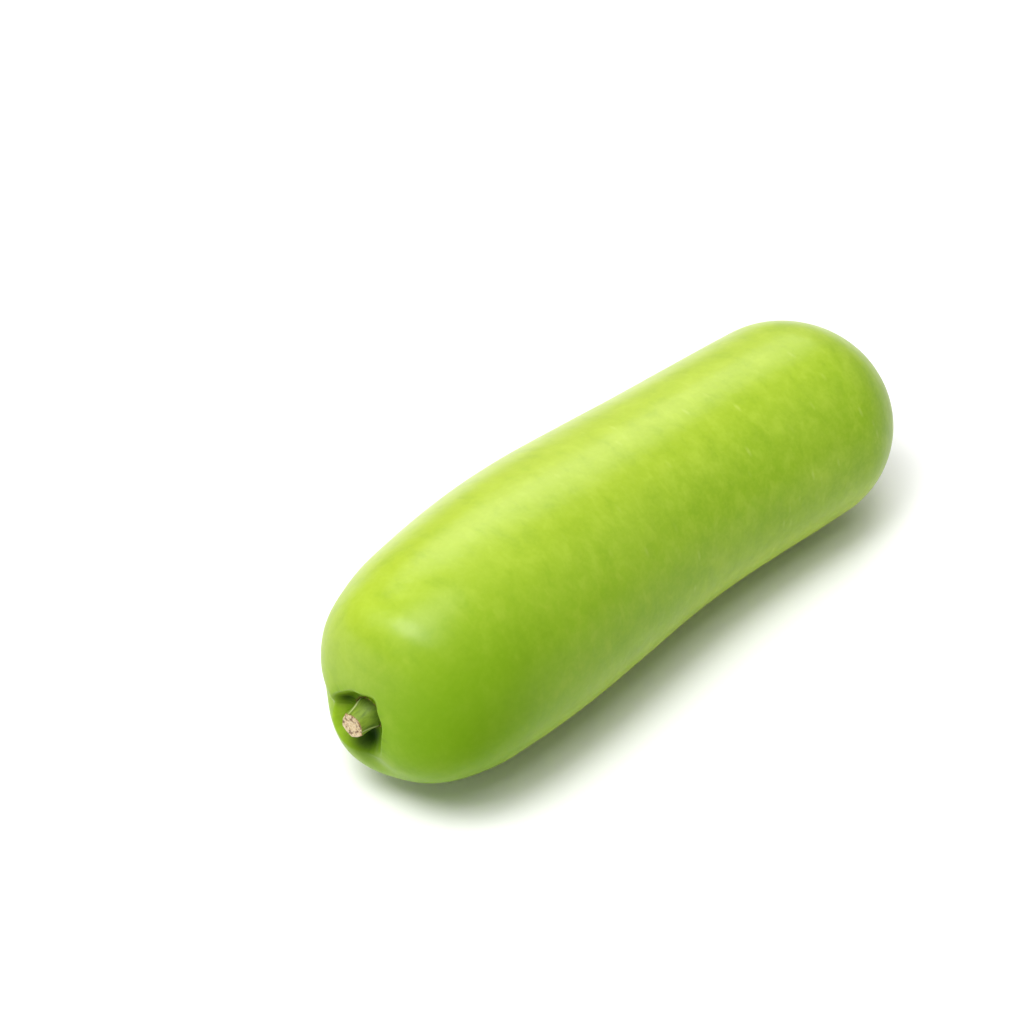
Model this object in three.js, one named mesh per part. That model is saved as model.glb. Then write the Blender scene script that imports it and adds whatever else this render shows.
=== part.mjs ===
// A bottle gourd, picked with a short stub of its stem and lying on its side.
// Millimetres, +Z up. The stem end is towards -X and the blossom end towards +X.
// The fruit is one solid: a bowed body with two swellings, and a sunken cavity round the stem.
// The stem is a second solid, a ridged stalk that was cut across, rooted in the cavity floor.
// Angles round the fruit and the stem are in degrees, from +Y towards +Z.

import * as THREE from "three";

// Length of the fruit, from the rim of the stem cavity to the blossom end
const LENGTH = 264.2;
const STEM_X = -LENGTH / 2;
const BLOSSOM_X = LENGTH / 2;

// Half-thickness: a slim column with a full swelling near the stem, and a lesser one near the blossom
const COLUMN_RADIUS = 35.5;
const STEM_SWELLING = { rise: 8.6, at: -53.5, spread: 74 };
const BLOSSOM_SWELLING = { rise: 4.5, at: 82, spread: 79 };

// Sideways bow of the middle, and how the tip of the stem end droops out of that line
const BOW = { rise: 7.9, at: -4, spread: 105 };
const DROOP = { sideways: 1.4, down: -2.9, spread: 14.8 };

// Domed ends: the length of each dome, and how square its shoulder is (2 is an ellipse)
const STEM_DOME = { length: 39, squareness: 2.12, tipRadius: 9 };
const BLOSSOM_DOME = { length: 38.7, squareness: 2 };

// The two places where the fruit touches the table, and how far its skin is pressed flat there
const REST_STATIONS = [-50, 78];
const REST_FLAT_DEPTH = 0.55;

// Stem cavity: its middle beside the fruit's middle line, and a wall that is steeper on some sides
const CAVITY = { sideways: 4, up: -4, depth: 5.4, floorRadius: 6.2, rimRadius: 12.8, steepness: 1.3 };
const CAVITY_PULL_REACH = 12.3; // how far along the skin the cavity draws the tip over to its side
const CAVITY_CORNERS = [
  { angle: 117, rise: 2.9, width: 15 },
  { angle: 190, rise: -1.0, width: 25 },
  { angle: 236, rise: 2.5, width: 24 },
  { angle: 318, rise: 5.5, width: 44 },
  { angle: 48, rise: -1.2, width: 22 },
];
const SOCKET = { radius: 5.7, depth: 2.5 };

// Furrows that run out of the cavity, and the lobes that swell between them
const FURROWS = [
  { angle: 346, rise: 2.2, width: 13 },
  { angle: 117, rise: 0.3, width: 12 },
  { angle: 253, rise: 1.2, width: 18 },
];
const FURROW_PLACE = { at: 9.5, spread: 9.5 }; // along the skin, from the edge of the tip
const UPPER_LOBES = [{ angle: 78, rise: 4.5, width: 57 }];
const LOWER_LOBES = [
  { angle: 203, rise: 2.6, width: 47 },
  { angle: 290, rise: 3.9, width: 38 },
];
const UPPER_LOBE_PLACE = { at: 24.5, spread: 12.8 };
const LOWER_LOBE_PLACE = { at: 22, spread: 17 };

// Blossom scar: a shallow dimple at the far end
const SCAR = { radius: 6.5, depth: 0.9 };

// Stem stub
const STEM_RADIUS = 4.35;
const STEM_OUT = 2.7; // how far the cut face stands beyond the tip of the fruit
const STEM_FLARE = { rise: 0.9, reach: 3.4 }; // widening where the stalk joins the fruit
const STEM_RIDGES = [
  { angle: 55, rise: 0.5, width: 9 },
  { angle: 130, rise: 0.12, width: 16 },
  { angle: 207, rise: 0.5, width: 9 },
  { angle: 276, rise: 0.35, width: 11 },
  { angle: 343, rise: 0.35, width: 11 },
];
const STEM_TURN = 6; // how far the ridges wind along the stub
const STEM_LEAN = { sideways: 0.3, up: -1.3 }; // where the cut face ends up, off the cavity's middle
const CUT_BEVEL = 0.4;
const FIT_GAP = 0.3; // clear space between the stem and the fruit

// Fineness of the facets
const FRUIT_SIDES = 64;
const STEM_SIDES = 60;
const STEM_RINGS = 9;
const RINGS = { wall: 3, lip: 11, shoulder: 11, body: 13, blossomDome: 11, scar: 2 };
const LIP_TURN = 24; // part of the stem dome's quarter turn that has the finer rings

const COLOURS = { skin: 0x9bc83a, stalk: 0x5f8a22 };

const { degToRad, lerp, clamp } = THREE.MathUtils;

// A smooth hill of height 1 at the middle of its spread
function hill(x, { at, spread }) {
  return Math.exp(-(((x - at) / spread) ** 2));
}

// The sum of hills that stand at set angles round an axis
function hillsRound(degrees, hills) {
  return hills.reduce((sum, { angle, rise, width }) => {
    const away = ((degrees - angle + 540) % 360) - 180;
    return sum + rise * Math.exp(-((away / width) ** 2));
  }, 0);
}

function halfThickness(x) {
  return (
    COLUMN_RADIUS +
    STEM_SWELLING.rise * hill(x, STEM_SWELLING) +
    BLOSSOM_SWELLING.rise * hill(x, BLOSSOM_SWELLING)
  );
}

function droop(x) {
  return hill(x, { at: STEM_X, spread: DROOP.spread });
}

function sideways(x) {
  return BOW.rise * hill(x, BOW) + DROOP.sideways * droop(x);
}

// Height of the fruit's middle line, which runs so that both swellings touch the table
function height(x) {
  const [near, far] = REST_STATIONS;
  const slope = (halfThickness(far) - halfThickness(near)) / (far - near);
  const straight = halfThickness(near) + slope * (x - near) - REST_FLAT_DEPTH;
  return straight + DROOP.down * droop(x);
}

// How far along a dome its skin is, at a share of the way out from its tip (0) to its shoulder (1)
function domeAlong(out, squareness) {
  return 1 - (1 - out ** squareness) ** (1 / squareness);
}

function stemDomeRing(turn) {
  const { length, squareness, tipRadius } = STEM_DOME;
  const out = Math.sin(degToRad(turn));
  const x = STEM_X + length * domeAlong(out, squareness);
  return { x, radius: lerp(tipRadius, halfThickness(x), out) };
}

function blossomDomeRing(turn) {
  const { length, squareness } = BLOSSOM_DOME;
  const out = Math.sin(degToRad(turn));
  const x = BLOSSOM_X - length * domeAlong(out, squareness);
  const radius = halfThickness(x) * out;
  return { x: x - SCAR.depth * Math.exp(-((radius / SCAR.radius) ** 2)), radius };
}

// The fruit's outline from the edge of the cavity floor to the blossom scar, as rings of
// { x, radius, reach, slope }: reach is the distance along the skin from the edge of the tip, and
// slope is the skin's angle to the fruit's length there
function outline() {
  const rings = [];
  for (let i = 0; i < RINGS.wall; i++) {
    rings.push({ x: STEM_X, radius: lerp(CAVITY.floorRadius, STEM_DOME.tipRadius, i / RINGS.wall) });
  }
  for (let i = 0; i < RINGS.lip; i++) {
    rings.push(stemDomeRing((LIP_TURN * i) / RINGS.lip));
  }
  for (let i = 0; i <= RINGS.shoulder; i++) {
    rings.push(stemDomeRing(lerp(LIP_TURN, 90, i / RINGS.shoulder)));
  }
  const bodyStart = STEM_X + STEM_DOME.length;
  const bodyEnd = BLOSSOM_X - BLOSSOM_DOME.length;
  for (let i = 1; i < RINGS.body; i++) {
    const x = lerp(bodyStart, bodyEnd, i / RINGS.body);
    rings.push({ x, radius: halfThickness(x) });
  }
  for (let i = RINGS.blossomDome; i >= 1; i--) {
    rings.push(blossomDomeRing((90 * i) / RINGS.blossomDome));
  }
  for (let i = RINGS.scar; i >= 1; i--) {
    rings.push(blossomDomeRing((90 * i) / (RINGS.scar + 1) / RINGS.blossomDome));
  }
  let reach = CAVITY.floorRadius - STEM_DOME.tipRadius;
  return rings.map((ring, i) => {
    const before = rings[Math.max(i - 1, 0)];
    reach += Math.hypot(ring.x - before.x, ring.radius - before.radius);
    const after = rings[Math.min(i + 1, rings.length - 1)];
    const slope = Math.atan2(after.radius - before.radius, after.x - before.x);
    return { ...ring, reach, slope };
  });
}

// 1 at the tip of the stem end, falling to 0 along the skin
function nearTip(reach, spread) {
  return Math.exp(-((Math.max(reach, 0) / spread) ** 2));
}

// How far the skin is sunk at a place on the cavity's wall
function cavitySink(radius, degrees) {
  const rim = CAVITY.rimRadius + hillsRound(degrees, CAVITY_CORNERS);
  const share = clamp((radius - CAVITY.floorRadius) / (rim - CAVITY.floorRadius), 0, 1);
  return (CAVITY.depth * (1 + Math.cos(Math.PI * share ** CAVITY.steepness))) / 2;
}

// The middle of a ring: on the fruit's middle line, drawn over to the cavity's middle near the tip
function ringMiddle({ x, reach }) {
  const pull = nearTip(reach, CAVITY_PULL_REACH);
  return new THREE.Vector3(
    x,
    sideways(x) + CAVITY.sideways * pull,
    height(x) + CAVITY.up * pull,
  );
}

// How far the skin stands out at the lobes of the stem end, less its furrows, square to the skin
function stemEndBulge(radius, reach, degrees) {
  const upper = hillsRound(degrees, UPPER_LOBES) * hill(reach, UPPER_LOBE_PLACE);
  const lower = hillsRound(degrees, LOWER_LOBES) * hill(reach, LOWER_LOBE_PLACE);
  const furrow = hillsRound(degrees, FURROWS) * hill(reach, FURROW_PLACE);
  const onWall = (radius - CAVITY.floorRadius) / (STEM_DOME.tipRadius - CAVITY.floorRadius);
  return (upper + lower - furrow) * clamp(onWall, 0, 1);
}

function skinPoint(ring, degrees) {
  const { x, radius, reach, slope } = ring;
  const middle = ringMiddle(ring);
  const bulge = x < 0 ? stemEndBulge(radius, reach, degrees) : 0;
  const sink = x < 0 ? cavitySink(radius, degrees) : 0;
  const out = radius + bulge * Math.cos(slope);
  return new THREE.Vector3(
    x - bulge * Math.sin(slope) + sink,
    middle.y + out * Math.cos(degToRad(degrees)),
    Math.max(middle.z + out * Math.sin(degToRad(degrees)), 0),
  );
}

function circle(middle, radiusAt, sides) {
  return Array.from({ length: sides }, (_, i) => {
    const degrees = (360 * i) / sides;
    const radius = radiusAt(degrees);
    return new THREE.Vector3(
      middle.x,
      middle.y + radius * Math.cos(degToRad(degrees)),
      middle.z + radius * Math.sin(degToRad(degrees)),
    );
  });
}

// A closed solid from rings of points that run towards +X, with a middle point at each end
function closedRings(rings, firstMiddle, lastMiddle) {
  const sides = rings[0].length;
  const points = [...rings.flat(), firstMiddle, lastMiddle];
  const first = points.length - 2;
  const last = points.length - 1;
  const end = (rings.length - 1) * sides;
  const faces = [];
  for (let side = 0; side < sides; side++) {
    const next = (side + 1) % sides;
    faces.push(first, next, side);
    for (let start = 0; start < end; start += sides) {
      const [a, b] = [start + side, start + next];
      faces.push(a, b, b + sides, a, b + sides, a + sides);
    }
    faces.push(last, end + side, end + next);
  }
  const geometry = new THREE.BufferGeometry().setFromPoints(points);
  geometry.setIndex(faces);
  geometry.computeVertexNormals();
  return geometry;
}

// The middle of the cavity floor, where the stem stands
const floorMiddle = ringMiddle({ x: STEM_X, reach: 0 }).setX(STEM_X + CAVITY.depth);
const socketFloor = floorMiddle.clone().setX(floorMiddle.x + SOCKET.depth);

function fruitGeometry() {
  const rings = outline();
  const skin = rings.map((ring) =>
    Array.from({ length: FRUIT_SIDES }, (_, i) => skinPoint(ring, (360 * i) / FRUIT_SIDES)),
  );
  const socket = [socketFloor, floorMiddle].map((middle) =>
    circle(middle, () => SOCKET.radius, FRUIT_SIDES),
  );
  const scarMiddle = ringMiddle(rings.at(-1)).setX(BLOSSOM_X - SCAR.depth);
  return closedRings([...socket, ...skin], socketFloor, scarMiddle);
}

// Half-thickness of the stalk at a height above the cavity floor
function stemRadius(above, degrees) {
  const flare = STEM_FLARE.rise * Math.exp(-((above / STEM_FLARE.reach) ** 2));
  const turned = degrees + (STEM_TURN * above) / (CAVITY.depth + STEM_OUT);
  const ridge = hillsRound(turned, STEM_RIDGES);
  return Math.min(STEM_RADIUS + flare + ridge, CAVITY.floorRadius - FIT_GAP);
}

function stemGeometry() {
  const top = CAVITY.depth + STEM_OUT;
  const middleAt = (above) => {
    const share = above / top;
    return new THREE.Vector3(
      floorMiddle.x - above,
      floorMiddle.y + STEM_LEAN.sideways * share,
      floorMiddle.z + STEM_LEAN.up * share,
    );
  };
  const rings = [circle(middleAt(top), (degrees) => stemRadius(top, degrees) - CUT_BEVEL, STEM_SIDES)];
  for (let i = 0; i < STEM_RINGS; i++) {
    const above = lerp(top - CUT_BEVEL, FIT_GAP, i / (STEM_RINGS - 1));
    rings.push(circle(middleAt(above), (degrees) => stemRadius(above, degrees), STEM_SIDES));
  }
  const rootRadius = () => SOCKET.radius - FIT_GAP;
  const foot = socketFloor.clone().setX(socketFloor.x - FIT_GAP);
  rings.push(circle(floorMiddle, rootRadius, STEM_SIDES));
  rings.push(circle(foot, rootRadius, STEM_SIDES));
  return closedRings(rings, middleAt(top), foot);
}

function piece(name, geometry, color, roughness) {
  const material = new THREE.MeshStandardMaterial({ color, roughness, metalness: 0 });
  const mesh = new THREE.Mesh(geometry, material);
  mesh.name = name;
  return mesh;
}

const gourd = new THREE.Group();
gourd.add(piece("fruit", fruitGeometry(), COLOURS.skin, 0.42));
gourd.add(piece("stem", stemGeometry(), COLOURS.stalk, 0.7));

// The origin is under the middle of the whole gourd, on the table
const box = new THREE.Box3().setFromObject(gourd);
const middle = box.getCenter(new THREE.Vector3());
gourd.position.set(-middle.x, -middle.y, -box.min.z);

export default gourd;
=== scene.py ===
"""A bottle gourd, picked with a short stub of its stem, lying on its side on a pale studio ground.

The stem end is towards -X and the blossom end towards +X. Shapes are worked out in millimetres, with
angles in degrees round the gourd from +Y towards +Z, and are turned into metres as they are placed.
"""

import math

import bpy
import numpy as np
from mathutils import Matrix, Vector


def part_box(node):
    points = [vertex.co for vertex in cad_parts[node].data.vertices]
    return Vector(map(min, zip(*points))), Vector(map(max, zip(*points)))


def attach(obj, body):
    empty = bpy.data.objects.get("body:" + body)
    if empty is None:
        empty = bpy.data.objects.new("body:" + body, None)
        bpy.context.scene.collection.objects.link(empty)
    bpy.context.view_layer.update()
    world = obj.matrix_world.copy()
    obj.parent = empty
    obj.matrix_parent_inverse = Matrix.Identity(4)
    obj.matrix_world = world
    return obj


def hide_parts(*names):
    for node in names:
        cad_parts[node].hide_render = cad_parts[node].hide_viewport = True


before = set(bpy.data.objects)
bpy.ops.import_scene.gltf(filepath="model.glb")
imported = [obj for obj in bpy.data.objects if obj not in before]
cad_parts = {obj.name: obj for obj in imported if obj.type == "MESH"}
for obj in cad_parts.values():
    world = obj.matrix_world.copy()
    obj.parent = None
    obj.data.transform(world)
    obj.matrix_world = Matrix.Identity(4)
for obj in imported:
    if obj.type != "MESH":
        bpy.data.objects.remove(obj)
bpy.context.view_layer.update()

MM = 0.001


# Camera

# Where the photograph was taken from: it looks down on the stem end, along the gourd
VIEW_AZIMUTH = -47.43
VIEW_ELEVATION = 39.4
VIEW_DISTANCE = 1.2
VIEW_TARGET = (-0.01403, 0.03688, 0.04)
LENS = 116.02
SENSOR = 36.0
NEAREST_SEEN, FARTHEST_SEEN = 0.05, 20.0


def away_at(azimuth, elevation):
    """The direction of a place that is so many degrees round from -Y and up from the ground."""
    a, e = math.radians(azimuth), math.radians(elevation)
    return Vector((math.sin(a) * math.cos(e), -math.cos(a) * math.cos(e), math.sin(e)))


def look_back(thing, away):
    """Turns a camera or a lamp that stands away from something so that it faces it."""
    thing.rotation_mode = "QUATERNION"
    thing.rotation_quaternion = (-away).to_track_quat("-Z", "Y")


def place_camera():
    back = away_at(VIEW_AZIMUTH, VIEW_ELEVATION)
    data = bpy.data.cameras.new("Camera")
    data.lens = LENS
    data.sensor_width = SENSOR
    data.clip_start = NEAREST_SEEN
    data.clip_end = FARTHEST_SEEN
    camera = bpy.data.objects.new("Camera", data)
    camera.location = Vector(VIEW_TARGET) + back * VIEW_DISTANCE
    look_back(camera, back)
    bpy.context.scene.collection.objects.link(camera)
    bpy.context.scene.camera = camera


place_camera()


# Rules as node fields


def join(tree, value, socket):
    """Puts a number, a colour or a rule into a socket."""
    if isinstance(value, Rule):
        tree.links.new(value.socket, socket)
    elif isinstance(value, bpy.types.NodeSocket):
        tree.links.new(value, socket)
    else:
        socket.default_value = value


class Rule:
    """A number that a node tree works out at each point, so that a rule reads as it would on paper."""

    def __init__(self, tree, socket):
        self.tree = tree
        self.socket = socket

    def step(self, operation, *others):
        node = self.tree.nodes.new("ShaderNodeMath")
        node.operation = operation
        for socket, value in zip(node.inputs, (self, *others)):
            join(self.tree, value, socket)
        return Rule(self.tree, node.outputs[0])

    def __add__(self, other):
        return self.step("ADD", other)

    __radd__ = __add__

    def __sub__(self, other):
        return self.step("SUBTRACT", other)

    def __rsub__(self, other):
        return self.step("MULTIPLY", -1.0) + other

    def __mul__(self, other):
        return self.step("MULTIPLY", other)

    __rmul__ = __mul__

    def __truediv__(self, other):
        return self.step("DIVIDE", other)

    def __mod__(self, other):
        return self.step("MODULO", other)

    def __neg__(self):
        return self * -1.0

    def power(self, other):
        return self.step("POWER", other)

    def exp(self):
        return self.step("EXPONENT")

    def cos(self):
        return self.step("COSINE")

    def sin(self):
        return self.step("SINE")

    def sqrt(self):
        return self.step("SQRT")

    def rounded(self):
        return self.step("ROUND")

    def at_least(self, other):
        return self.step("MAXIMUM", other)

    def at_most(self, other):
        return self.step("MINIMUM", other)

    def below(self, other):
        return self.step("LESS_THAN", other)

    def angle_from(self, other):
        """The angle of the point (other, self), in degrees."""
        return self.step("ARCTAN2", other) * (180 / math.pi)

    def held(self, low=0.0, high=1.0):
        return self.at_least(low).at_most(high)


def hill(x, at, spread):
    """A smooth hill of height 1 at the middle of its spread."""
    away = (x - at) / spread
    return (-(away * away)).exp()


def hills_round(degrees, hills):
    """The sum of hills that stand at set angles round an axis."""
    total = None
    for angle, rise, width in hills:
        # The turn between the two, from -180 to 180 degrees
        away = ((degrees - angle + 540.0) % 360.0 - 180.0) / width
        one = (-(away * away)).exp() * rise
        total = one if total is None else total + one
    return total


# Sizes of the fruit and the stem

LENGTH = 264.2
STEM_X = -LENGTH / 2
BLOSSOM_X = LENGTH / 2

COLUMN_RADIUS = 35.5
STEM_SWELLING = {"rise": 8.6, "at": -53.5, "spread": 74.0}
BLOSSOM_SWELLING = {"rise": 4.5, "at": 82.0, "spread": 79.0}
REST_STATIONS = (-50.0, 78.0)
REST_FLAT_DEPTH = 0.55

STEM_DOME = {"length": 39.0, "squareness": 2.12, "tip_radius": 9.0}
BLOSSOM_DOME = {"length": 38.7, "squareness": 2.0}
SCAR = {"radius": 6.5, "depth": 0.9}
SOCKET = {"radius": 5.7, "depth": 2.5}
CAVITY_FLOOR = 6.2
CAVITY_DEPTH = 5.4

# Each is (angle, rise, width)
CAVITY_CORNERS = [(117, 2.9, 15), (190, -1.0, 25), (236, 2.5, 24), (318, 5.5, 44), (48, -1.2, 22)]
FURROWS = [(346, 2.2, 13), (117, 0.3, 12), (253, 1.2, 18)]
UPPER_LOBES = [(78, 4.5, 57)]
LOWER_LOBES = [(203, 2.6, 47), (290, 3.9, 38)]
STEM_RIDGES = [(55, 0.5, 9), (130, 0.12, 16), (207, 0.5, 9), (276, 0.35, 11), (343, 0.35, 11)]

FRUIT_SIZES = {
    "Sides": 256,
    "Bow": 7.9,
    "Bow place": -4.0,
    "Bow spread": 105.0,
    "Droop sideways": 1.4,
    "Droop down": -2.9,
    "Droop spread": 14.8,
    "Cavity sideways": 4.0,
    "Cavity up": -4.0,
    "Cavity pull": 12.3,
    "Cavity depth": CAVITY_DEPTH,
    "Cavity floor": CAVITY_FLOOR,
    "Cavity rim": 12.8,
    "Cavity steepness": 1.3,
    "Furrow place": 9.5,
    "Furrow spread": 9.5,
    "Upper lobe place": 24.5,
    "Upper lobe spread": 12.8,
    "Lower lobe place": 22.0,
    "Lower lobe spread": 17.0,
    "Unevenness": 0.5,
    "Uneven patch": 42.0,
    "Seed": 7.0,
}

STEM_OUT = 2.7
STEM_TOP = CAVITY_DEPTH + STEM_OUT
# The room between the stalk's root and its socket
FIT_GAP = 0.3
STEM_SIZES = {
    "Sides": 200,
    "Flare": 0.9,
    "Flare reach": 3.4,
    "Turn": 6.0,
    "Lean sideways": 0.3,
    "Lean up": -1.3,
    "Cut slant": 0.09,
    "Unevenness": 0.16,
    "Uneven patch": 1.6,
    "Seed": 3.0,
}
STEM_RADIUS = 4.35
CUT_BEVEL = 0.4
CUT_REACH = 0.9
CUT_FACE_REACH, CUT_FACE_TILT = 1.2, -0.6
CUT_SLANT_TOWARDS = (0.77, 0.64)
CUT_HOLLOW = {"depth": 0.25, "spread": 2.2}

# How finely each stretch of the outlines is divided
FLOOR_STEPS = 10
RIM_STEPS = 56
RIM_TURN = 24.0
COLUMN_STEPS = 92
BLOSSOM_STEPS = 72
CUT_STEPS = 22
BEVEL_STEPS = 8
BARK_STEPS = 56


def number_hill(x, at, spread):
    return math.exp(-(((x - at) / spread) ** 2))


def half_thickness(x):
    thickness = COLUMN_RADIUS
    for swelling in (STEM_SWELLING, BLOSSOM_SWELLING):
        thickness += swelling["rise"] * number_hill(x, swelling["at"], swelling["spread"])
    return thickness


def bow_at(x):
    return FRUIT_SIZES["Bow"] * number_hill(x, FRUIT_SIZES["Bow place"], FRUIT_SIZES["Bow spread"])


def resting_height(x):
    """How high the middle line is at x, a number or a rule, for both swellings to lie on the floor."""
    near, far = REST_STATIONS
    slope = (half_thickness(far) - half_thickness(near)) / (far - near)
    return (x - near) * slope + (half_thickness(near) - REST_FLAT_DEPTH)


def dome_along(out, squareness):
    """How far along a dome its skin is, from its tip (out 0) to its shoulder (out 1)."""
    return 1 - (1 - out**squareness) ** (1 / squareness)


def mix(a, b, share):
    return a + (b - a) * share


def fruit_outline():
    """Half of the fruit's outline, as (place along it, distance from its middle line).

    With it comes how far along the outline the edge of the flat tip is.
    """
    points = [
        (STEM_X + SOCKET["depth"], 0.0),
        (STEM_X + SOCKET["depth"], SOCKET["radius"]),
        (STEM_X, SOCKET["radius"]),
    ]
    tip = STEM_DOME["tip_radius"]
    points += [(STEM_X, mix(CAVITY_FLOOR, tip, i / FLOOR_STEPS)) for i in range(FLOOR_STEPS)]
    edge = len(points)
    turns = [RIM_TURN * i / RIM_STEPS for i in range(RIM_STEPS)]
    turns += [mix(RIM_TURN, 90.0, i / RIM_STEPS) for i in range(RIM_STEPS + 1)]
    for turn in turns:
        out = math.sin(math.radians(turn))
        x = STEM_X + STEM_DOME["length"] * dome_along(out, STEM_DOME["squareness"])
        points.append((x, mix(tip, half_thickness(x), out)))
    start, end = STEM_X + STEM_DOME["length"], BLOSSOM_X - BLOSSOM_DOME["length"]
    points += [(x, half_thickness(x)) for x in np.linspace(start, end, COLUMN_STEPS)[1:-1]]
    for turn in np.linspace(90, 0, BLOSSOM_STEPS)[:-1]:
        out = math.sin(math.radians(turn))
        x = BLOSSOM_X - BLOSSOM_DOME["length"] * dome_along(out, BLOSSOM_DOME["squareness"])
        radius = half_thickness(x) * out
        points.append((x - SCAR["depth"] * math.exp(-((radius / SCAR["radius"]) ** 2)), radius))
    points.append((BLOSSOM_X - SCAR["depth"], 0.0))
    steps = [math.dist(a, b) for a, b in zip(points, points[1:])]
    return points, sum(steps[:edge])


def stem_outline():
    """Half of the stem's outline, as (height above the cavity's floor, distance from its middle line)."""
    root = SOCKET["radius"] - FIT_GAP
    points = [(STEM_TOP, STEM_RADIUS * share) for share in np.linspace(0, 0.9, CUT_STEPS)]
    points += [
        (STEM_TOP - CUT_BEVEL * (1 - math.cos(a)), STEM_RADIUS - CUT_BEVEL * (1 - math.sin(a)))
        for a in np.linspace(0, math.pi / 2, BEVEL_STEPS)
    ]
    heights = np.linspace(STEM_TOP - CUT_BEVEL, FIT_GAP, BARK_STEPS)[1:]
    points += [(height, STEM_RADIUS) for height in heights]
    points += [(0.0, root), (-SOCKET["depth"] + FIT_GAP, root), (-SOCKET["depth"] + FIT_GAP, 0.0)]
    return points


# Trees that turn an outline into a solid


def new_tree(name, numbers):
    """A geometry tree with a named input for each size, and what it is given."""
    tree = bpy.data.node_groups.new(name, "GeometryNodeTree")
    face = tree.interface
    face.new_socket(name="Outline", in_out="INPUT", socket_type="NodeSocketGeometry")
    face.new_socket(name="Result", in_out="OUTPUT", socket_type="NodeSocketGeometry")
    for label, value in numbers.items():
        kind = "NodeSocketInt" if isinstance(value, int) else "NodeSocketFloat"
        face.new_socket(name=label, in_out="INPUT", socket_type=kind)
    face.new_socket(name="Finish", in_out="INPUT", socket_type="NodeSocketMaterial")
    given = tree.nodes.new("NodeGroupInput")
    return tree, given


def part_of(tree, socket, axis):
    node = tree.nodes.new("ShaderNodeSeparateXYZ")
    tree.links.new(socket, node.inputs[0])
    return Rule(tree, node.outputs[axis])


def point_of(tree, x, y, z):
    node = tree.nodes.new("ShaderNodeCombineXYZ")
    for socket, value in zip(node.inputs, (x, y, z)):
        join(tree, value, socket)
    return node.outputs[0]


def turned_solid(name, numbers, rings, place, lies_on_floor=False):
    """A tree that turns an outline into a closed solid.

    place gives each point's (x, y, z) from what is known there.
    """
    tree, given = new_tree(name, numbers)
    nodes, links = tree.nodes, tree.links
    size = {label: Rule(tree, given.outputs[label]) for label in numbers}

    outline = nodes.new("GeometryNodeMeshToCurve")
    links.new(given.outputs["Outline"], outline.inputs["Mesh"])

    drum = nodes.new("GeometryNodeMeshCylinder")
    drum.fill_type = "TRIANGLE_FAN"
    links.new(given.outputs["Sides"], drum.inputs["Vertices"])
    drum.inputs["Side Segments"].default_value = rings - 1
    drum.inputs["Radius"].default_value = 1.0
    drum.inputs["Depth"].default_value = 1.0

    here = nodes.new("GeometryNodeInputPosition").outputs[0]
    across, up, along = (part_of(tree, here, axis) for axis in range(3))
    share = along + 0.5
    # The two poles are the first and last points of the outline, and the rings are those between
    is_pole = (across * across + up * up).below(0.25)
    ring = (share * (rings - 1.0)).rounded() + 1.0 + is_pole * ((share - 0.5) * 2.0)

    def on_outline(kind, field):
        node = nodes.new("GeometryNodeSampleIndex")
        node.data_type = kind
        links.new(outline.outputs[0], node.inputs["Geometry"])
        links.new(field, node.inputs["Value"])
        links.new(ring.socket, node.inputs["Index"])
        return node.outputs["Value"]

    at = on_outline("FLOAT_VECTOR", here)
    heading = on_outline("FLOAT_VECTOR", nodes.new("GeometryNodeInputTangent").outputs[0])
    travelled = on_outline("FLOAT", nodes.new("GeometryNodeSplineParameter").outputs["Length"])
    known = {
        "along": part_of(tree, at, 0),
        "radius": part_of(tree, at, 1),
        "heading_along": part_of(tree, heading, 0),
        "heading_out": part_of(tree, heading, 1),
        "travelled": Rule(tree, travelled),
        "across": across,
        "up": up,
        "degrees": up.angle_from(across),
    }
    shaped = nodes.new("GeometryNodeSetPosition")
    links.new(drum.outputs["Mesh"], shaped.inputs["Geometry"])
    links.new(point_of(tree, *place(size, known)), shaped.inputs["Position"])

    # Nothing that grew is quite even: a slow noise moves the surface in and out
    noise = nodes.new("ShaderNodeTexNoise")
    noise.noise_dimensions = "4D"
    noise.inputs["Scale"].default_value = 1.0
    noise.inputs["Detail"].default_value = 2.0
    links.new(size["Seed"].socket, noise.inputs["W"])
    patch = size["Uneven patch"]
    spread = [part_of(tree, here, axis) / patch for axis in range(3)]
    links.new(point_of(tree, *spread), noise.inputs["Vector"])
    depth = (Rule(tree, noise.outputs[0]) - 0.5) * size["Unevenness"]
    if lies_on_floor:
        # None on the resting spots, and all of it 7 mm up
        depth = depth * ((part_of(tree, here, 2) - 1.0) / 6.0).held()
    push = nodes.new("ShaderNodeVectorMath")
    push.operation = "SCALE"
    links.new(nodes.new("GeometryNodeInputNormal").outputs[0], push.inputs[0])
    links.new(depth.socket, push.inputs["Scale"])
    uneven = nodes.new("GeometryNodeSetPosition")
    links.new(shaped.outputs[0], uneven.inputs["Geometry"])
    links.new(push.outputs[0], uneven.inputs["Offset"])

    finish_tree(tree, given, uneven.outputs[0])
    return tree


def finish_tree(tree, given, geometry):
    """Ends a tree: smooth faces, real geometry and its material."""
    nodes, links = tree.nodes, tree.links
    smooth = nodes.new("GeometryNodeSetShadeSmooth")
    real = nodes.new("GeometryNodeRealizeInstances")
    painted = nodes.new("GeometryNodeSetMaterial")
    result = nodes.new("NodeGroupOutput")
    links.new(geometry, smooth.inputs[0])
    links.new(smooth.outputs[0], real.inputs[0])
    links.new(real.outputs[0], painted.inputs["Geometry"])
    links.new(given.outputs["Finish"], painted.inputs["Material"])
    links.new(painted.outputs[0], result.inputs[0])


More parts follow.
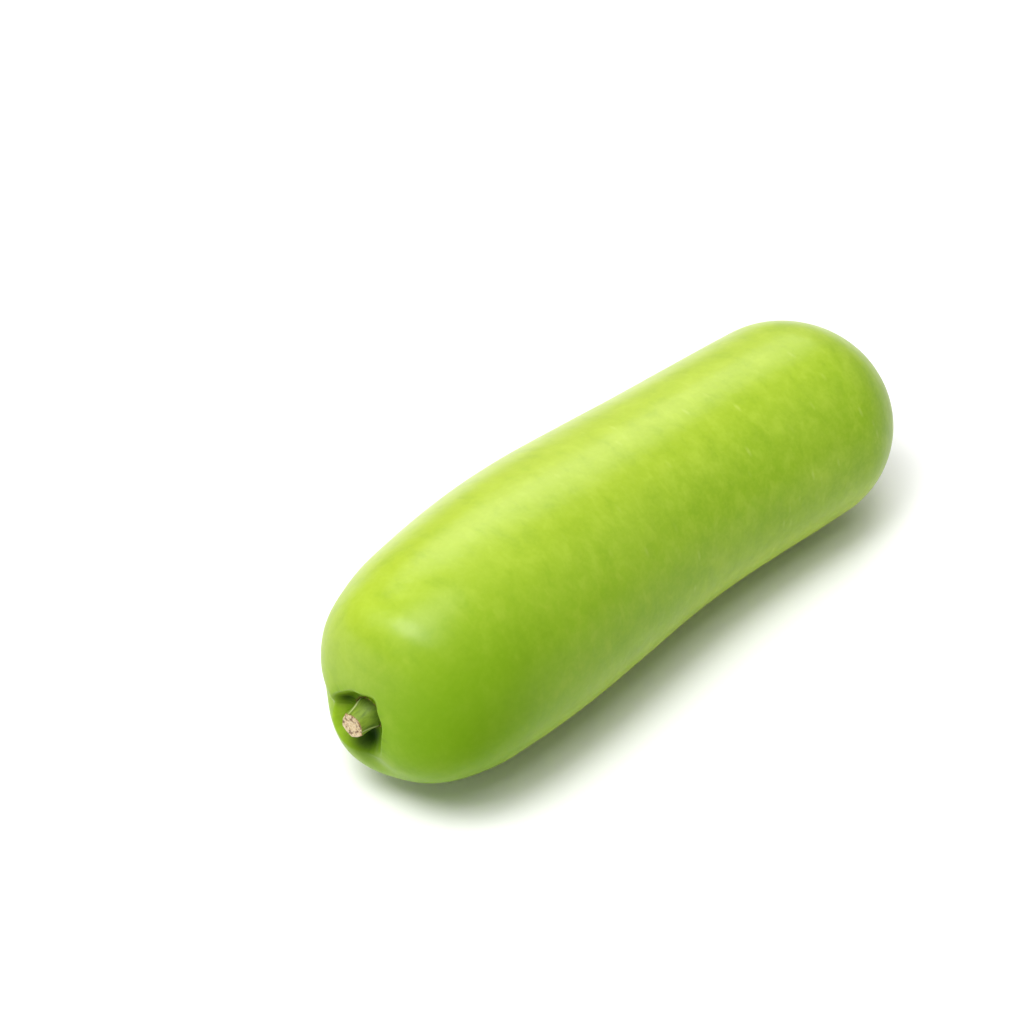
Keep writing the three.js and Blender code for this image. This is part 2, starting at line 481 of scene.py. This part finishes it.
def made_by_tree(name, blank, tree, values, finish):
    """Runs a tree on a blank mesh, and keeps what it makes as a plain mesh."""
    maker = bpy.data.objects.new(name, blank)
    bpy.context.scene.collection.objects.link(maker)
    modifier = maker.modifiers.new("Shape", "NODES")
    modifier.node_group = tree
    for item in tree.interface.items_tree:
        if item.item_type == "SOCKET" and item.in_out == "INPUT" and item.name in values:
            modifier[item.identifier] = values[item.name]
        if item.item_type == "SOCKET" and item.name == "Finish":
            modifier[item.identifier] = finish
    bpy.context.view_layer.update()
    evaluated = maker.evaluated_get(bpy.context.evaluated_depsgraph_get())
    plain = bpy.data.meshes.new_from_object(evaluated)
    maker.modifiers.clear()
    maker.data = plain
    plain.name = name
    plain.materials.clear()
    plain.materials.append(finish)
    plain.polygons.foreach_set("material_index", [0] * len(plain.polygons))
    return maker


def polyline(name, points):
    mesh = bpy.data.meshes.new(name)
    mesh.from_pydata([(x, y, 0.0) for x, y in points], [(i, i + 1) for i in range(len(points) - 1)], [])
    return mesh


# Shape rules


def fruit_place(size, known):
    """Where the skin is: a bowed body, with lobes, furrows and a sunken cavity at the stem end."""
    x, radius = known["along"], known["radius"]
    degrees = known["degrees"]
    reach = known["travelled"] - size["Tip edge"]
    near_stem = x.below(0.0)

    droop = hill(x, STEM_X, size["Droop spread"])
    from_tip = reach.at_least(0.0)
    pull = hill(from_tip, 0.0, size["Cavity pull"])
    middle_y = size["Bow"] * hill(x, size["Bow place"], size["Bow spread"])
    middle_y = middle_y + size["Droop sideways"] * droop + size["Cavity sideways"] * pull
    middle_z = resting_height(x)
    middle_z = middle_z + size["Droop down"] * droop + size["Cavity up"] * pull

    upper, lower, furrow = (
        hills_round(degrees, hills) * hill(reach, size[kind + " place"], size[kind + " spread"])
        for kind, hills in (("Upper lobe", UPPER_LOBES), ("Lower lobe", LOWER_LOBES), ("Furrow", FURROWS))
    )
    on_wall = ((radius - size["Cavity floor"]) / (STEM_DOME["tip_radius"] - CAVITY_FLOOR)).held()
    bulge = (upper + lower - furrow) * on_wall * near_stem

    rim = size["Cavity rim"] + hills_round(degrees, CAVITY_CORNERS)
    share = ((radius - size["Cavity floor"]) / (rim - size["Cavity floor"])).held()
    sink = size["Cavity depth"] * ((share.power(size["Cavity steepness"]) * math.pi).cos() + 1.0) * 0.5
    sink = sink * near_stem

    out = radius + bulge * known["heading_along"]
    return (
        x - bulge * known["heading_out"] + sink,
        middle_y + out * known["across"],
        (middle_z + out * known["up"]).at_least(0.0),
    )


def stem_place(size, known):
    """Where the stalk's bark is: ridged, flared to its foot and cut a little crooked."""
    above, radius = known["along"], known["radius"]
    degrees = known["degrees"]
    share = above / STEM_TOP
    is_bark = (above * -1.0).below(-FIT_GAP / 2)
    edge = radius / STEM_RADIUS
    flare = size["Flare"] * hill(above, 0.0, size["Flare reach"])
    ridge = hills_round(degrees + size["Turn"] * share, STEM_RIDGES)
    grown = (flare + ridge) * edge * is_bark
    limit = CAVITY_FLOOR - FIT_GAP
    out = (radius + grown).at_most(limit)
    # The knife left the cut face slightly hollow, and lower on one side
    on_cut = hill(above, STEM_TOP, CUT_REACH)
    slant_up, slant_across = CUT_SLANT_TOWARDS
    crooked = size["Cut slant"] * on_cut * out * (known["up"] * slant_up - known["across"] * slant_across)
    hollow = hill(radius, 0.0, CUT_HOLLOW["spread"]) * on_cut * CUT_HOLLOW["depth"]
    return (
        size["Floor x"] - above + crooked + hollow,
        size["Floor y"] + size["Lean sideways"] * share + out * known["across"],
        size["Floor z"] + size["Lean up"] * share + out * known["up"],
    )


# Small bits in a ring on a surface


BIT_SIZES = {
    "Bits": 12,
    "Ring radius": 3.0,
    "Ring scatter": 0.4,
    "Middle y": 0.0,
    "Middle z": 0.0,
    "Above": -200.0,
    "Length": 0.5,
    "Width": 0.2,
    "Thickness": 0.12,
    "Turned": 0.3,
    "Lift": 0.0,
    "Seed": 1,
}
STRAND_ENDS = {
    "Bits": 11,
    "Ring radius": 3.15,
    "Ring scatter": 0.35,
    "Length": 0.75,
    "Width": 0.3,
    "Thickness": 0.14,
    "Turned": 0.25,
    "Seed": 5,
}
DRIED_BITS = {
    "Bits": 15,
    "Ring radius": 5.9,
    "Ring scatter": 0.3,
    "Length": 0.95,
    "Width": 0.42,
    "Thickness": 0.36,
    "Turned": 0.5,
    "Lift": 0.05,
    "Seed": 12,
}


def bits_on_surface():
    """A tree that sets small rounded bits in a ring and lets them down along +X on to a surface."""
    tree, given = new_tree("Bits in a ring", BIT_SIZES)
    nodes, links = tree.nodes, tree.links
    size = {label: Rule(tree, given.outputs[label]) for label in BIT_SIZES}

    def chance(low, high, offset):
        node = nodes.new("FunctionNodeRandomValue")
        node.data_type = "FLOAT"
        node.inputs[2].default_value = low
        node.inputs[3].default_value = high
        links.new((size["Seed"] + float(offset)).socket, node.inputs["Seed"])
        return Rule(tree, node.outputs[1])

    row = nodes.new("GeometryNodeMeshLine")
    links.new(given.outputs["Bits"], row.inputs["Count"])
    place = Rule(tree, nodes.new("GeometryNodeInputIndex").outputs[0])
    angle = (place + chance(-0.35, 0.35, 0)) / size["Bits"] * (2 * math.pi)
    radius = size["Ring radius"] + size["Ring scatter"] * chance(-1.0, 1.0, 10)
    across, up = radius * angle.cos(), radius * angle.sin()
    ring = nodes.new("GeometryNodeSetPosition")
    links.new(row.outputs[0], ring.inputs["Geometry"])
    start = point_of(tree, size["Above"], size["Middle y"] + across, size["Middle z"] + up)
    links.new(start, ring.inputs["Position"])

    drop = nodes.new("GeometryNodeRaycast")
    links.new(given.outputs["Outline"], drop.inputs["Target Geometry"])
    drop.inputs["Ray Direction"].default_value = (1.0, 0.0, 0.0)
    drop.inputs["Ray Length"].default_value = 2 * LENGTH
    landed = nodes.new("GeometryNodeSetPosition")
    links.new(ring.outputs[0], landed.inputs["Geometry"])
    links.new(drop.outputs["Is Hit"], landed.inputs["Selection"])
    links.new(drop.outputs["Hit Position"], landed.inputs["Position"])
    links.new(point_of(tree, -size["Lift"], 0.0, 0.0), landed.inputs["Offset"])

    bit = nodes.new("GeometryNodeMeshIcoSphere")
    bit.inputs["Radius"].default_value = 0.5
    bit.inputs["Subdivisions"].default_value = 2
    placed = nodes.new("GeometryNodeInstanceOnPoints")
    links.new(landed.outputs[0], placed.inputs["Points"])
    links.new(bit.outputs["Mesh"], placed.inputs["Instance"])
    swing = angle + size["Turned"] * chance(-math.pi, math.pi, 20)
    links.new(point_of(tree, swing, 0.0, 0.0), placed.inputs["Rotation"])
    grown = chance(0.6, 1.3, 30)
    sizes = point_of(tree, size["Thickness"], size["Length"] * grown, size["Width"] * chance(0.7, 1.3, 40))
    links.new(sizes, placed.inputs["Scale"])
    finish_tree(tree, given, placed.outputs[0])
    return tree


# Where things are

outline, tip_edge = fruit_outline()
fruit_values = {**FRUIT_SIZES, "Tip edge": tip_edge}

# From the shape rules' own origin to the part's, by the blossom end, the bowed side and the underside
# of the CAD fruit's box
low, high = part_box("fruit")
rule_end = max(x for x, _ in outline)
rule_side = max(bow_at(x) + out for x, out in outline)
to_part_frame = Vector((high[0] / MM - rule_end, high[1] / MM - rule_side, low[2] / MM))
cavity_middle = Vector(
    (
        STEM_X + CAVITY_DEPTH,
        bow_at(STEM_X) + FRUIT_SIZES["Droop sideways"] + FRUIT_SIZES["Cavity sideways"],
        resting_height(STEM_X) + FRUIT_SIZES["Droop down"] + FRUIT_SIZES["Cavity up"],
    )
)
blossom_middle = Vector((BLOSSOM_X, bow_at(BLOSSOM_X), resting_height(BLOSSOM_X)))
stem_centre = (cavity_middle + to_part_frame) * MM
blossom_centre = (blossom_middle + to_part_frame) * MM


# Finishes


def new_finish(name):
    finish = bpy.data.materials.new(name)
    finish.use_nodes = True
    tree = finish.node_tree
    shader = tree.nodes["Principled BSDF"]
    where = tree.nodes.new("ShaderNodeTexCoord").outputs["Object"]
    return finish, tree, shader, where


def stretched(tree, where, per_metre, turn=(0.0, 0.0, 0.0)):
    """Places on the piece, with its own scale along each axis."""
    node = tree.nodes.new("ShaderNodeMapping")
    tree.links.new(where, node.inputs["Vector"])
    node.inputs["Scale"].default_value = per_metre
    node.inputs["Rotation"].default_value = [math.radians(a) for a in turn]
    return node.outputs[0]


def cloud(tree, where, scale=1.0, detail=3.0, roughness=0.5, distortion=0.0):
    node = tree.nodes.new("ShaderNodeTexNoise")
    tree.links.new(where, node.inputs["Vector"])
    node.inputs["Scale"].default_value = scale
    node.inputs["Detail"].default_value = detail
    node.inputs["Roughness"].default_value = roughness
    node.inputs["Distortion"].default_value = distortion
    return Rule(tree, node.outputs[0])


def between(rule, low, high):
    """0 below low and 1 above high, eased between."""
    node = rule.tree.nodes.new("ShaderNodeMapRange")
    node.interpolation_type = "SMOOTHSTEP"
    join(rule.tree, rule, node.inputs["Value"])
    node.inputs["From Min"].default_value = low
    node.inputs["From Max"].default_value = high
    return Rule(rule.tree, node.outputs[0])


def blend(tree, share, first, second):
    """The first colour with a share of the second laid over it."""
    node = tree.nodes.new("ShaderNodeMix")
    node.data_type = "RGBA"
    join(tree, share, node.inputs[0])
    for value, socket in ((first, node.inputs[6]), (second, node.inputs[7])):
        join(tree, (*value, 1.0) if isinstance(value, tuple) else value, socket)
    return node.outputs[2]


def relief(tree, shader, height, distance, strength):
    node = tree.nodes.new("ShaderNodeBump")
    node.inputs["Distance"].default_value = distance
    node.inputs["Strength"].default_value = strength
    join(tree, height, node.inputs["Height"])
    tree.links.new(node.outputs[0], shader.inputs["Normal"])


SKIN_GREEN = (0.218, 0.38, 0.012)
# Painted light: the paler, yellower green of the lit upper side, also used for the yellower blossom end
SKIN_YELLOWER_AND_PAINTED_LIT = (0.368, 0.475, 0.026)
SKIN_GROUND = (0.41, 0.535, 0.026)
# Deep green for the mottling, and for the painted shade on the stem end, flank and cavity
SKIN_DEEP_AND_PAINTED_SHADE = (0.115, 0.25, 0.002)
SKIN_PALE = (0.50, 0.63, 0.075)
SKIN_CREAM = (0.60, 0.68, 0.18)
SCAR_TAN = (0.33, 0.24, 0.09)
STAIN_BROWN = (0.16, 0.085, 0.03)
# Painted light: the side painted paler where the lamps fall on it, as shares of Y and Z
PAINTED_LIGHT_TOWARDS = (0.64, 0.77)
# Painted shade: darker green low on the stem end and on the flank behind it, turned from the light: its
# middle, how far it spreads, and its share
PAINTED_SHADE_END = ((-0.119, -0.037, 0.048), 0.040, 0.76)
PAINTED_SHADE_FLANK = ((-0.060, -0.034, 0.060), 0.052, 0.2)
# The pale strokes lie round the gourd, a little turned, as shares of its length and thickness
STROKE_TURN = (0, 14, 10)
MOTTLES_PER_METRE = (150.0, 105.0, 105.0)
DASHES_PER_METRE = (230.0, 90.0, 90.0)
# Painted shade, darkest in the cavity's narrow places where the stalk and lip shut out the light: each
# place, how far it spreads, and how dark it gets
PAINTED_SHADE_POCKETS = [
    ((-0.1262, -0.0012, 0.0312), 0.0050, 1.0),
    ((-0.1285, -0.0005, 0.0285), 0.0075, 0.55),
    ((-0.1259, 0.0100, 0.0412), 0.0036, 0.85),
]
# The colour of the painted shade in the cavity's creases and narrow places
PAINTED_SHADE_DARK = (0.008, 0.032, 0.001)


def hill_round(tree, where, place, spread):
    """A smooth hill of height 1 that stands round a place on the piece."""
    off = [part_of(tree, where, axis) - place[axis] for axis in range(3)]
    return hill((off[0] * off[0] + off[1] * off[1] + off[2] * off[2]).sqrt(), 0.0, spread)


def off_axis(tree, where, centre):
    """How far a point is from an axis along X through the centre: to the side, up, and in all."""
    off_y = part_of(tree, where, 1) - centre.y
    off_z = part_of(tree, where, 2) - centre.z
    return off_y, off_z, (off_y * off_y + off_z * off_z).sqrt()


def skin_finish(stem_at, blossom_at):
    """Waxy young skin: yellow-green, softly mottled, with faint pale strokes round it, painted light on its
    upper side and painted shade on the stem end and in the cavity.
    """
    finish, tree, shader, where = new_finish("gourd skin")
    x, y, z = (part_of(tree, where, axis) for axis in range(3))
    off_y, off_z, from_stem = off_axis(tree, where, stem_at)
    at_stem_end = 1.0 - between(x, stem_at.x, stem_at.x + 0.03)
    at_blossom_end = between(x, 0.105, 0.13)

    # The ground colours: painted light making the lit upper side paler and yellower, paler near the ground,
    # and yellower at the blossom end
    painted_lit_side = between(y * PAINTED_LIGHT_TOWARDS[0] + z * PAINTED_LIGHT_TOWARDS[1], 0.02, 0.085)
    colour = blend(tree, painted_lit_side, SKIN_GREEN, SKIN_YELLOWER_AND_PAINTED_LIT)
    colour = blend(tree, at_blossom_end * 0.6, colour, SKIN_YELLOWER_AND_PAINTED_LIT)
    near_ground = (1.0 - between(z, 0.01, 0.046)) * between(x, -0.12, -0.08)
    colour = blend(tree, near_ground * 0.6, colour, SKIN_GROUND)

    # Mottling, fine grain and short pale dashes
    patches = between(cloud(tree, where, 26.0, 2.0), 0.3, 0.7)
    colour = blend(tree, patches * 0.1 + 0.07, colour, SKIN_PALE)
    mottles = cloud(tree, stretched(tree, where, MOTTLES_PER_METRE, STROKE_TURN), 1.0, 3.0, 0.6, 0.3)
    colour = blend(tree, between(mottles, 0.48, 0.72) * 0.21, colour, SKIN_PALE)
    colour = blend(tree, (1.0 - between(mottles, 0.3, 0.5)) * 0.16, colour, SKIN_DEEP_AND_PAINTED_SHADE)
    grain = cloud(tree, where, 520.0, 3.0, 0.6)
    colour = blend(tree, between(grain, 0.42, 0.62) * 0.08, colour, SKIN_PALE)
    cells = tree.nodes.new("ShaderNodeTexVoronoi")
    cells.inputs["Scale"].default_value = 1.0
    tree.links.new(stretched(tree, where, DASHES_PER_METRE, STROKE_TURN), cells.inputs["Vector"])
    dashes = 1.0 - between(Rule(tree, cells.outputs["Distance"]), 0.0, 0.27)
    dashes = dashes * between(part_of(tree, cells.outputs["Color"], 0), 0.4, 0.9)
    colour = blend(tree, dashes * between(x, -0.1, 0.03) * 0.24, colour, SKIN_CREAM)

    # Painted shade: darker green low on the stem end and flank, shade in the cavity and its creases, darkest
    # in its narrow places
    for place, spread, share in (PAINTED_SHADE_FLANK, PAINTED_SHADE_END):
        painted_shade = hill_round(tree, where, place, spread)
        colour = blend(tree, painted_shade * share, colour, SKIN_DEEP_AND_PAINTED_SHADE)
    # Painted shade in the cavity, darkest round the stalk
    in_cavity = (1.0 - between(from_stem, 0.006, 0.017)) * at_stem_end
    colour = blend(tree, in_cavity * 0.75, colour, SKIN_DEEP_AND_PAINTED_SHADE)
    # Painted shade in creases that run out from the stalk, which are also given relief below
    ray = point_of(tree, off_y / from_stem * 4.0, off_z / from_stem * 4.0, from_stem * 70.0)
    creases = (1.0 - between(cloud(tree, ray, 1.0, 3.0, 0.6), 0.36, 0.5)) * in_cavity
    colour = blend(tree, creases * 0.45, colour, PAINTED_SHADE_DARK)
    # Painted shade at its darkest in the narrow places beside the stalk
    for place, spread, share in PAINTED_SHADE_POCKETS:
        colour = blend(tree, hill_round(tree, where, place, spread) * share, colour, PAINTED_SHADE_DARK)

    # Corky scar where the flower was
    ragged = off_axis(tree, where, blossom_at)[2] + (cloud(tree, where, 700.0, 3.0) - 0.5) * 0.0022
    scar = (1.0 - between(ragged, 0.0017, 0.0034)) * between(x, 0.12, 0.125)
    colour = blend(tree, scar * 0.85, colour, SCAR_TAN)

    # Brown stain where the stalk comes out of the cavity's floor
    stain_edge = from_stem + (cloud(tree, where, 900.0, 3.0, 0.6) - 0.5) * 0.003
    stain = (1.0 - between(stain_edge, 0.0052, 0.0068)) * at_stem_end
    colour = blend(tree, stain * 0.7, colour, STAIN_BROWN)

    tree.links.new(colour, shader.inputs["Base Color"])
    gloss = cloud(tree, where, 60.0, 3.0) * 0.08 + 0.27
    tree.links.new(gloss.socket, shader.inputs["Roughness"])
    # The wax is thin where shade is painted low on the stem end, in the cavity, on the far shoulder and at
    # the blossom end
    shoulder = (1.0 - between(x, -0.115, -0.07)) * between(y, -0.002, 0.032)
    rubbed = shoulder * 0.9 + at_blossom_end * 0.4
    thin_wax = (painted_shade.power(1.8) * 0.85 + in_cavity * 0.7 + rubbed).at_most(1.0)
    wax = (painted_lit_side * 0.31 + 0.1) * (1.0 - thin_wax)
    tree.links.new(wax.socket, shader.inputs["Specular IOR Level"])
    shader.inputs["Subsurface Weight"].default_value = 0.2
    shader.inputs["Subsurface Radius"].default_value = (0.7, 1.0, 0.2)
    shader.inputs["Subsurface Scale"].default_value = 0.004
    fine = cloud(tree, where, 900.0, 3.0, 0.6)
    wide = cloud(tree, stretched(tree, where, (170.0, 90.0, 90.0)), 1.0, 2.0)
    relief(tree, shader, wide * 0.8 + fine * 0.1 - creases * 0.7, 0.0006, 0.3)
    return finish


BARK_GREEN = (0.20, 0.30, 0.018)
BARK_DARK = (0.095, 0.165, 0.007)
RIDGE_PALE = (0.42, 0.48, 0.2)
CUT_CREAM = (0.70, 0.60, 0.40)
CUT_TAN = (0.52, 0.38, 0.20)
CUT_RUST = (0.36, 0.17, 0.05)
CUT_BROWN = (0.12, 0.045, 0.015)
STRANDS_ROUND = 16.0


def bark_finish(stem_at):
    """The stalk's green side: darker bands along it, painted shade at its foot down in the cavity, and pale
    sharp ridges.
    """
    finish, tree, shader, where = new_finish("stalk bark")
    off_y, off_z, _ = off_axis(tree, where, stem_at)
    degrees = off_z.angle_from(off_y)
    above = (part_of(tree, where, 0) * -1.0 + stem_at.x) / MM
    turned = degrees + above * (STEM_SIZES["Turn"] / STEM_TOP)
    around = point_of(tree, above * 0.12, off_y * 900.0, off_z * 900.0)
    bands = cloud(tree, around, 1.0, 2.0, 0.5)
    colour = blend(tree, between(bands, 0.3, 0.62), BARK_DARK, BARK_GREEN)
    # Painted shade at the stalk's foot, down in the cavity
    colour = blend(tree, hill(above, 0.0, 4.0) * 0.6, colour, BARK_DARK)
    ridge = hills_round(turned, [(angle, rise * 2.0, width * 0.5) for angle, rise, width in STEM_RIDGES])
    colour = blend(tree, between(ridge, 0.45, 1.0) * 0.8, colour, RIDGE_PALE)
    dried = between(above + cloud(tree, where, 1100.0, 2.0) * 1.2, STEM_TOP - 0.4, STEM_TOP + 0.5)
    colour = blend(tree, dried * 0.8, colour, CUT_BROWN)
    tree.links.new(colour, shader.inputs["Base Color"])
    shader.inputs["Roughness"].default_value = 0.6
    relief(tree, shader, bands + cloud(tree, where, 2600.0, 2.0) * 0.4, 0.0003, 0.6)
    return finish


def cut_finish(stem_at):
    """Pale pith where the stalk was cut, with brown gaps between its strands and a rusty rim."""
    finish, tree, shader, where = new_finish("cut stalk")
    lean = Vector((0.0, STEM_SIZES["Lean sideways"], STEM_SIZES["Lean up"])) * MM
    off_y, off_z, out = off_axis(tree, where, stem_at + lean)
    out = out / MM
    grain = cloud(tree, where, 1500.0, 3.0, 0.65)
    colour = blend(tree, between(grain, 0.35, 0.7), CUT_TAN, CUT_CREAM)
    cells = tree.nodes.new("ShaderNodeTexVoronoi")
    cells.inputs["Scale"].default_value = 1.0
    ragged = cloud(tree, where, 700.0, 2.0) * 0.8
    strands_round = off_z.angle_from(off_y) * (STRANDS_ROUND / 360.0)
    around = point_of(tree, out * 0.7 + ragged, strands_round, ragged)
    tree.links.new(around, cells.inputs["Vector"])
    gap = between(Rule(tree, cells.outputs["Distance"]), 0.5, 0.75) * between(out, 1.4, 2.6)
    colour = blend(tree, gap * 0.8, colour, CUT_BROWN)
    rim = between(out + (cloud(tree, where, 1300.0, 2.0) - 0.5) * 1.0, 4.1, 4.6)
    colour = blend(tree, rim * 0.7, colour, CUT_RUST)
    tree.links.new(colour, shader.inputs["Base Color"])
    shader.inputs["Roughness"].default_value = 0.85
    relief(tree, shader, grain - gap * 0.6, 0.0004, 0.8)
    return finish


def bits_finish(name, dark, light):
    """Dry brown, uneven from light to dark."""
    finish, tree, shader, where = new_finish(name)
    colour = blend(tree, between(cloud(tree, where, 1500.0, 2.0), 0.35, 0.65), dark, light)
    tree.links.new(colour, shader.inputs["Base Color"])
    shader.inputs["Roughness"].default_value = 0.8
    return finish


# The pieces


def settle(piece, shift):
    """Moves a piece's own points from millimetres to its place in metres."""
    points = np.empty(len(piece.data.vertices) * 3)
    piece.data.vertices.foreach_get("co", points)
    placed = (points.reshape(-1, 3) + np.array(shift)) * MM
    piece.data.vertices.foreach_set("co", placed.ravel())
    piece.data.update()


fruit = made_by_tree(
    "gourd_fruit",
    polyline("fruit outline", outline),
    turned_solid("fruit", fruit_values, len(outline) - 2, fruit_place, lies_on_floor=True),
    fruit_values,
    skin_finish(stem_centre, blossom_centre),
)

stem_line = stem_outline()
floor_place = dict(zip(("Floor x", "Floor y", "Floor z"), cavity_middle))
stem_values = {**STEM_SIZES, **floor_place}
stem = made_by_tree(
    "gourd_stem",
    polyline("stem outline", stem_line),
    turned_solid("stalk", stem_values, len(stem_line) - 2, stem_place),
    stem_values,
    bark_finish(stem_centre),
)
# The cut face has its own finish: it is what looks back along the stalk, close to its top
stem.data.materials.append(cut_finish(stem_centre))
for face in stem.data.polygons:
    if face.center.x < cavity_middle.x - STEM_TOP + CUT_FACE_REACH and face.normal.x < CUT_FACE_TILT:
        face.material_index = 1

bits = bits_on_surface()
middle = {"Middle y": cavity_middle.y, "Middle z": cavity_middle.z}
strand_ends = made_by_tree(
    "stem_strand_ends",
    stem.data.copy(),
    bits,
    {**BIT_SIZES, **middle, **STRAND_ENDS},
    bits_finish("strand ends", (0.10, 0.035, 0.01), (0.24, 0.11, 0.04)),
)
dried_bits = made_by_tree(
    "stem_dried_bits",
    fruit.data.copy(),
    bits,
    {**BIT_SIZES, **middle, **DRIED_BITS},
    bits_finish("dried bits", (0.09, 0.025, 0.012), (0.26, 0.11, 0.05)),
)

for piece in (fruit, stem, strand_ends, dried_bits):
    settle(piece, to_part_frame)

for piece, slot in ((fruit, "skin"), (stem, "stalk"), (strand_ends, "stalk"), (dried_bits, "stalk")):
    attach(piece, "root")
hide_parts("fruit")
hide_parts("stem")


# Studio


GROUND_HALF = 4.0
GROUND_PAPER = 0.9


def make_ground():
    finish, tree, shader, where = new_finish("studio ground")
    paper = cloud(tree, where, 40.0, 2.0) * 0.01 + GROUND_PAPER
    white = point_of(tree, paper, paper, paper)
    tree.links.new(white, shader.inputs["Base Color"])
    shader.inputs["Roughness"].default_value = 0.9
    shader.inputs["Specular IOR Level"].default_value = 0.1
    mesh = bpy.data.meshes.new("ground")
    corners = [(x * GROUND_HALF, y * GROUND_HALF, 0) for x, y in ((-1, -1), (1, -1), (1, 1), (-1, 1))]
    mesh.from_pydata(corners, [], [(0, 1, 2, 3)])
    mesh.materials.append(finish)
    ground = bpy.data.objects.new("ground", mesh)
    bpy.context.scene.collection.objects.link(ground)


# Each soft box: name, azimuth and elevation of its place, width and power
SOFT_BOXES = [
    ("overhead", 0.0, 90.0, 0.8, 6.6),
    ("front fill", 300.0, 65.0, 0.9, 10.2),
    ("left top", 264.0, 62.0, 0.85, 16.0),
    ("left", 224.0, 40.0, 0.9, 2.8),
    ("low left", 275.0, 25.0, 0.9, 2.4),
    ("back right", 120.0, 40.0, 0.8, 4.4),
    ("back", 150.0, 40.0, 0.8, 4.6),
    ("low back", 120.0, 15.0, 1.4, 1.2),
    ("low right", 62.0, 18.0, 1.4, 1.4),
]
BOX_DISTANCE = 1.6
LIT_POINT = Vector((0, 0, 0.04))
SKY = 0.2


def make_lights():
    for name, azimuth, elevation, width, power in SOFT_BOXES:
        data = bpy.data.lights.new(name, "AREA")
        data.shape = "DISK"
        data.size = width
        data.energy = power
        lamp = bpy.data.objects.new(name, data)
        away = away_at(azimuth, elevation)
        lamp.location = LIT_POINT + away * BOX_DISTANCE
        look_back(lamp, away)
        bpy.context.scene.collection.objects.link(lamp)
    world = bpy.data.worlds.new("studio")
    world.use_nodes = True
    sky = world.node_tree.nodes["Background"]
    sky.inputs["Color"].default_value = (1.0, 1.0, 1.0, 1.0)
    sky.inputs["Strength"].default_value = SKY
    bpy.context.scene.world = world


make_ground()
make_lights()
bpy.context.scene.view_settings.view_transform = "Standard"
